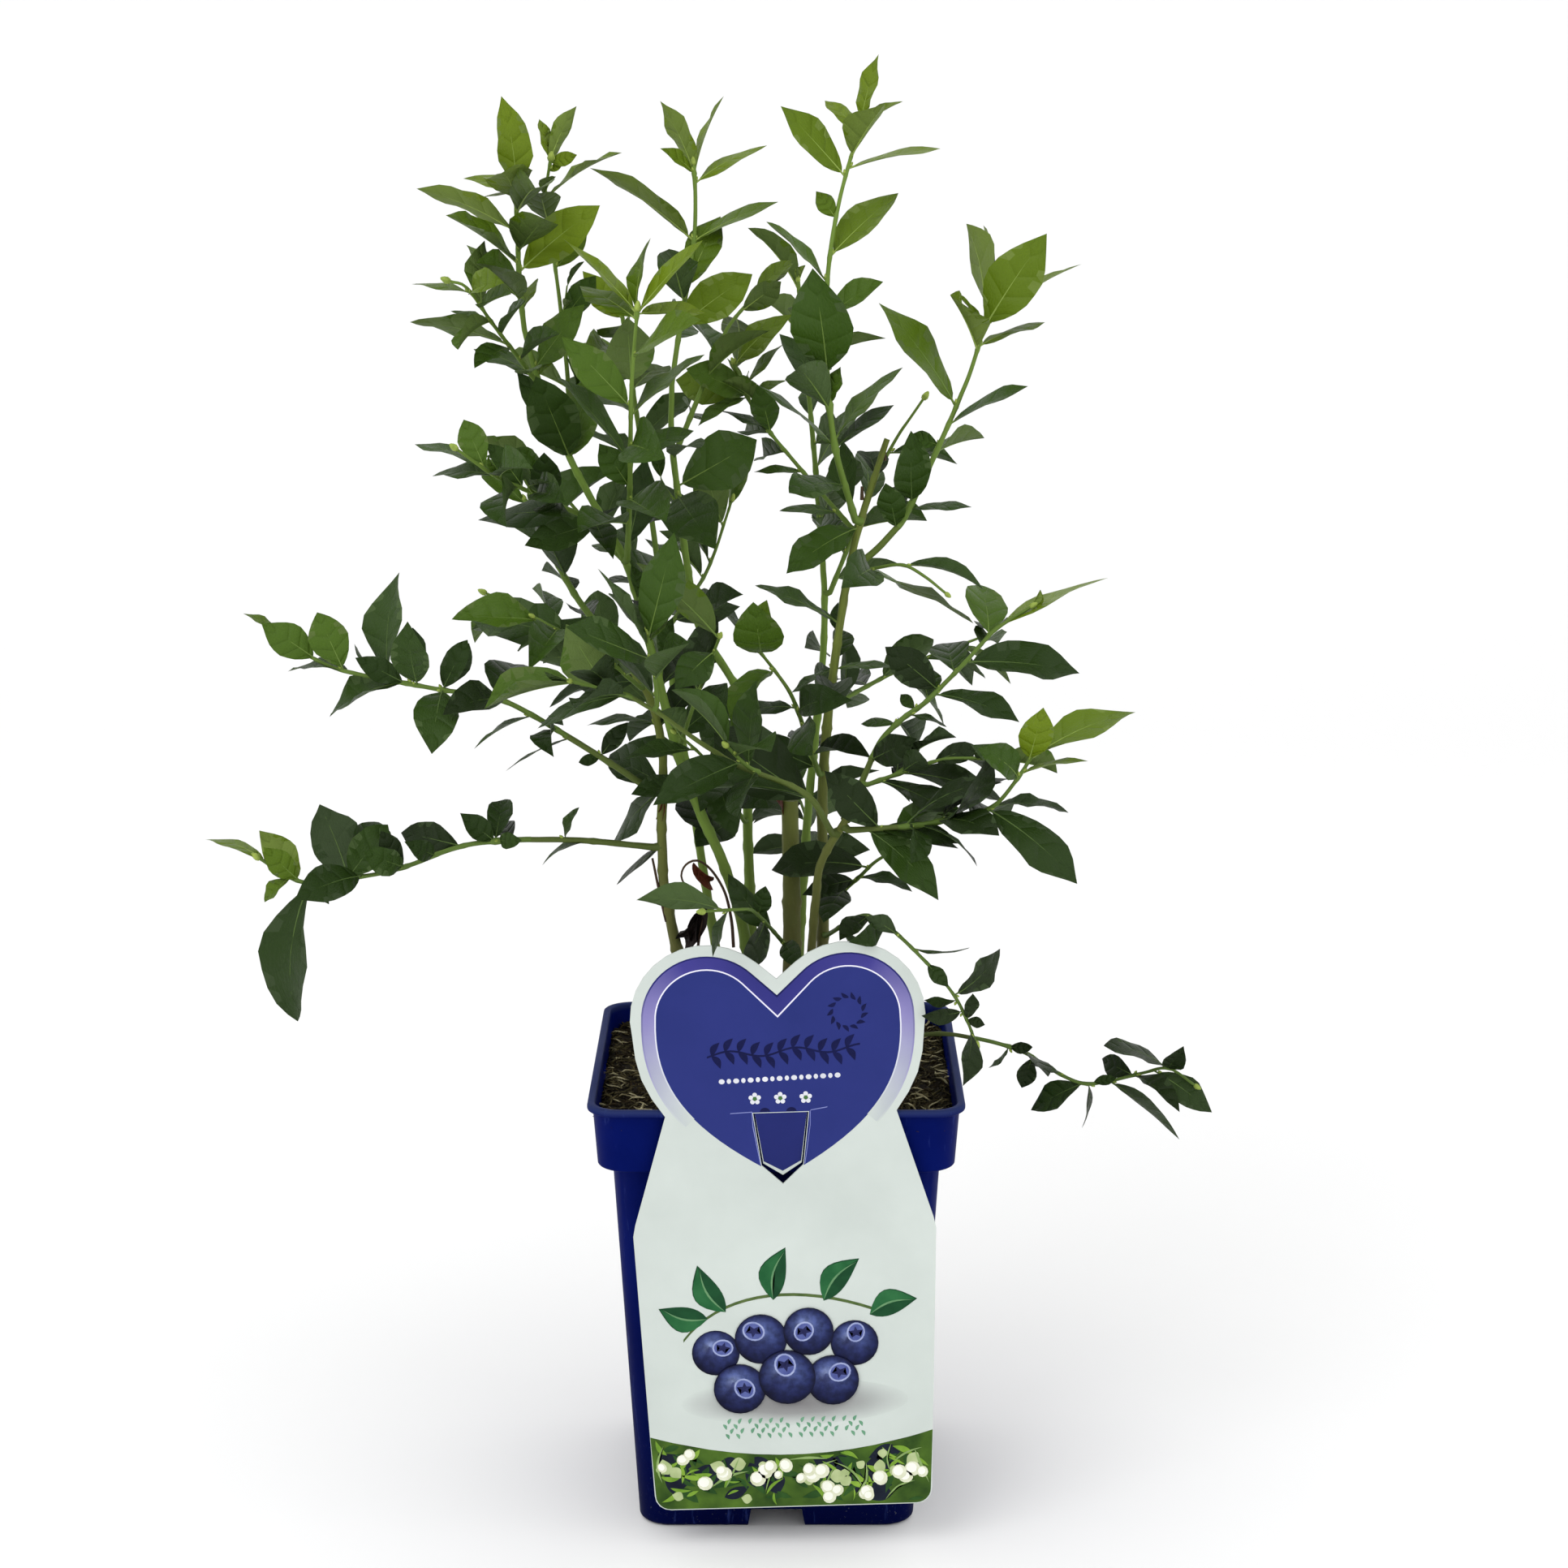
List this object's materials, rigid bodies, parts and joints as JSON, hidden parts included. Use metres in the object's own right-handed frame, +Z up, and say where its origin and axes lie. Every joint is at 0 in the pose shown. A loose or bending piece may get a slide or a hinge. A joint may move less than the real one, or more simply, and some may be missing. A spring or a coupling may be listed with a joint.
{
  "type": "blueberry bush in a pot",
  "caption": "Young leafy berry bush of slender canes and side shoots, growing in a tall square plastic pot with a heart-topped picture card hooked on the rim.",
  "frame": {"origin": "middle of the pot's flat underside", "axes": "+Z up, -Y towards the front, where the picture card hangs, +X to the right seen from the front"},
  "size_m": [0.4539, 0.3223, 0.6435],
  "materials": {
    "navy_plastic": "satin",
    "compost": "matte",
    "printed_card": "satin",
    "olive_bark": "matte",
    "young_bark": "satin",
    "foliage": "satin"
  },
  "bodies": {
    "root": {"bough_front": "young_bark", "bough_front_right": "young_bark", "bough_low_right": "young_bark", "bough_lower_left": "young_bark", "bough_mid_right": "young_bark", "bough_right": "young_bark", "bough_upper_left": "young_bark", "cane_back": "olive_bark", "cane_back_left": "olive_bark", "cane_centre": "olive_bark", "cane_left": "olive_bark", "cane_left_inner": "olive_bark", "cane_mid": "olive_bark", "cane_old": "olive_bark", "cane_right": "olive_bark", "leaves_above_card": "foliage", "leaves_back": "foliage", "leaves_back_left": "foliage", "leaves_back_low": "foliage", "leaves_back_mid": "foliage", "leaves_centre": "foliage", "leaves_centre_back": "foliage", "leaves_centre_low": "foliage", "leaves_centre_mid": "foliage", "leaves_curled": "foliage", "leaves_far_left": "foliage", "leaves_far_left_high": "foliage", "leaves_far_right": "foliage", "leaves_far_right_high": "foliage", "leaves_front": "foliage", "leaves_front_centre": "foliage", "leaves_front_right": "foliage", "leaves_lance": "foliage", "leaves_left": "foliage", "leaves_left_back": "foliage", "leaves_left_front": "foliage", "leaves_left_inner": "foliage", "leaves_left_mid": "foliage", "leaves_left_side": "foliage", "leaves_left_tip": "foliage", "leaves_low_front": "foliage", "leaves_low_right": "foliage", "leaves_lower_left": "foliage", "leaves_mid_right": "foliage", "leaves_over_card": "foliage", "leaves_right": "foliage", "leaves_right_inner": "foliage", "leaves_right_leaf": "foliage", "leaves_right_low": "foliage", "leaves_right_top": "foliage", "leaves_upper_left": "foliage", "picture_card": "printed_card", "pot": "navy_plastic", "soil": "compost"}
  },
  "joints": []
}
